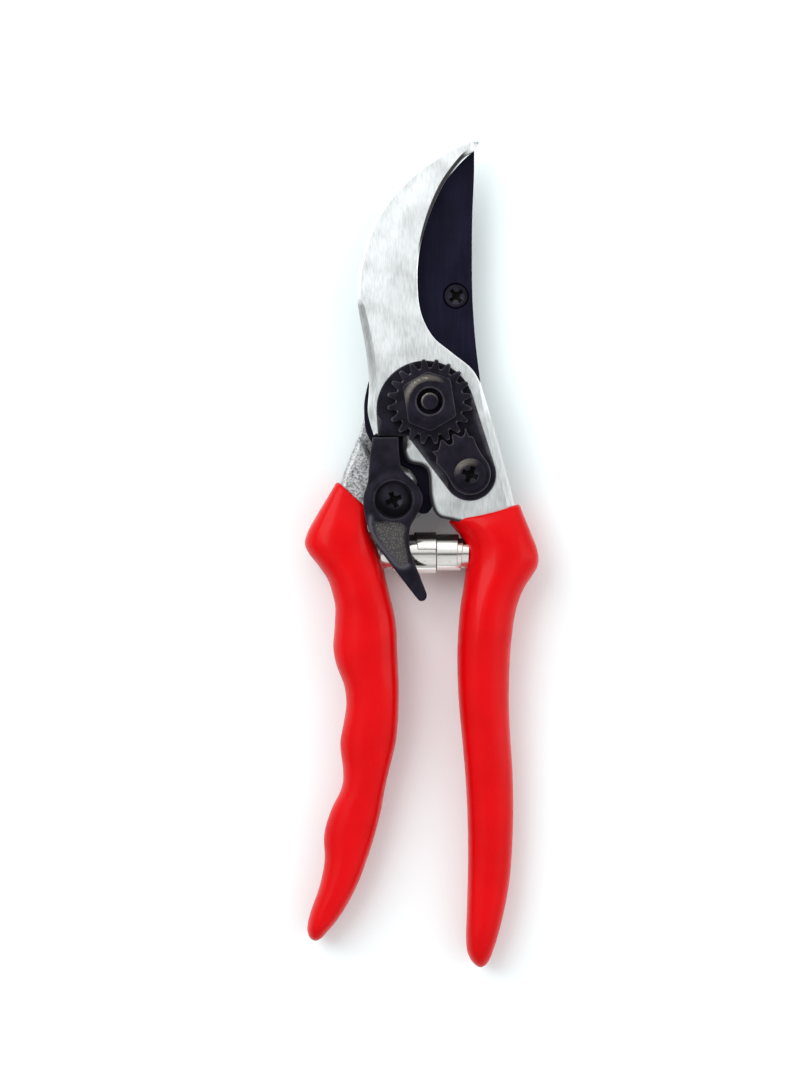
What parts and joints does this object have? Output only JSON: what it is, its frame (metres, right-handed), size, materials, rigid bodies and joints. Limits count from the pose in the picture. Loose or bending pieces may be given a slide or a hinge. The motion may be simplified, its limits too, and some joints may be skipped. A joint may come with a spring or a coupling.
{
  "type": "bypass pruning shears",
  "caption": "Bypass pruning shears with a curved cutting blade, counter hook, toothed adjusting nut, thumb catch, volute spring and dipped grips.",
  "frame": {"origin": "on the pivot axis, at the underside of the pivot bolt's head, which the shears rest on", "axes": "+Y towards the tip of the blade, +X towards the hook's grip, +Z along the pivot axis towards the toothed nut"},
  "size_m": [0.0576, 0.2048, 0.021],
  "materials": {
    "hook_steel": "bright steel, ground along the blade's length",
    "grip_vinyl": "glossy red dipped vinyl",
    "black_oxide": "satin black oxide",
    "coated_blade": "satin blue-black coating",
    "cast_arm": "bright, rough as cast",
    "plain_steel": "turned steel",
    "bronze": "plain bearing bronze",
    "nickel_spring": "bright nickel-plated strip"
  },
  "bodies": {
    "hook_side": {"hook_arm": "hook_steel", "right_grip": "grip_vinyl", "backing_plate": "black_oxide", "toothed_nut": "black_oxide", "lock_segment": "black_oxide", "segment_screw": "black_oxide", "pivot_bolt": "black_oxide", "thrust_washer": "bronze", "right_spring_stud": "plain_steel", "volute_spring": "nickel_spring"},
    "blade_side": {"carrier_arm": "cast_arm", "cutting_blade": "coated_blade", "blade_screw": "black_oxide", "pivot_bush": "bronze", "left_grip": "grip_vinyl", "left_spring_stud": "plain_steel", "catch_screw": "black_oxide", "catch_sleeve": "bronze", "catch_washer": "plain_steel"},
    "catch": {"catch_lever": "black_oxide"}
  },
  "joints": [
    {"name": "blade_pivot", "type": "hinge", "parent": "hook_side", "child": "blade_side", "pos_m": [0, 0, 0.01], "axis": [0, 0, -1], "range_deg": [0, 28], "deforming": ["volute_spring"]},
    {"name": "catch_pivot", "type": "hinge", "parent": "blade_side", "child": "catch", "pos_m": [-0.0088, -0.0241, 0.0165], "axis": [0, 0, 1], "range_deg": [0, 21]}
  ]
}
